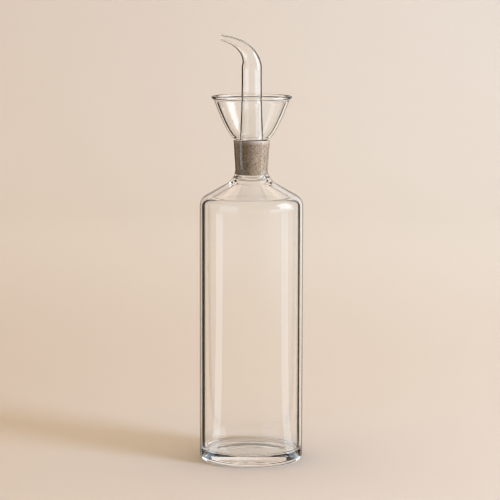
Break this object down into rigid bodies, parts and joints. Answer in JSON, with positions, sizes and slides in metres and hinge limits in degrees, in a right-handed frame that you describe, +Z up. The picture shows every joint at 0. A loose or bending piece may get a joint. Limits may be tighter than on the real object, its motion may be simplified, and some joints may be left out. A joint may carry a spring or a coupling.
{
  "type": "oil bottle",
  "caption": "Clear glass oil bottle with rounded shoulders, and a ground-in glass pourer with a drip funnel and a bent, tapering spout.",
  "frame": {"origin": "on the bottle's axis, at the underside that it stands on", "axes": "+Z up along the bottle's axis; the spout points towards -X"},
  "size_m": [0.07, 0.07, 0.2872],
  "materials": {
    "bottle_glass": "clear, polished, with a ground zone inside the neck",
    "pourer_glass": "clear, polished, with a ground cone"
  },
  "bodies": {
    "root": {"bottle": "bottle_glass", "pourer": "pourer_glass"}
  },
  "joints": []
}
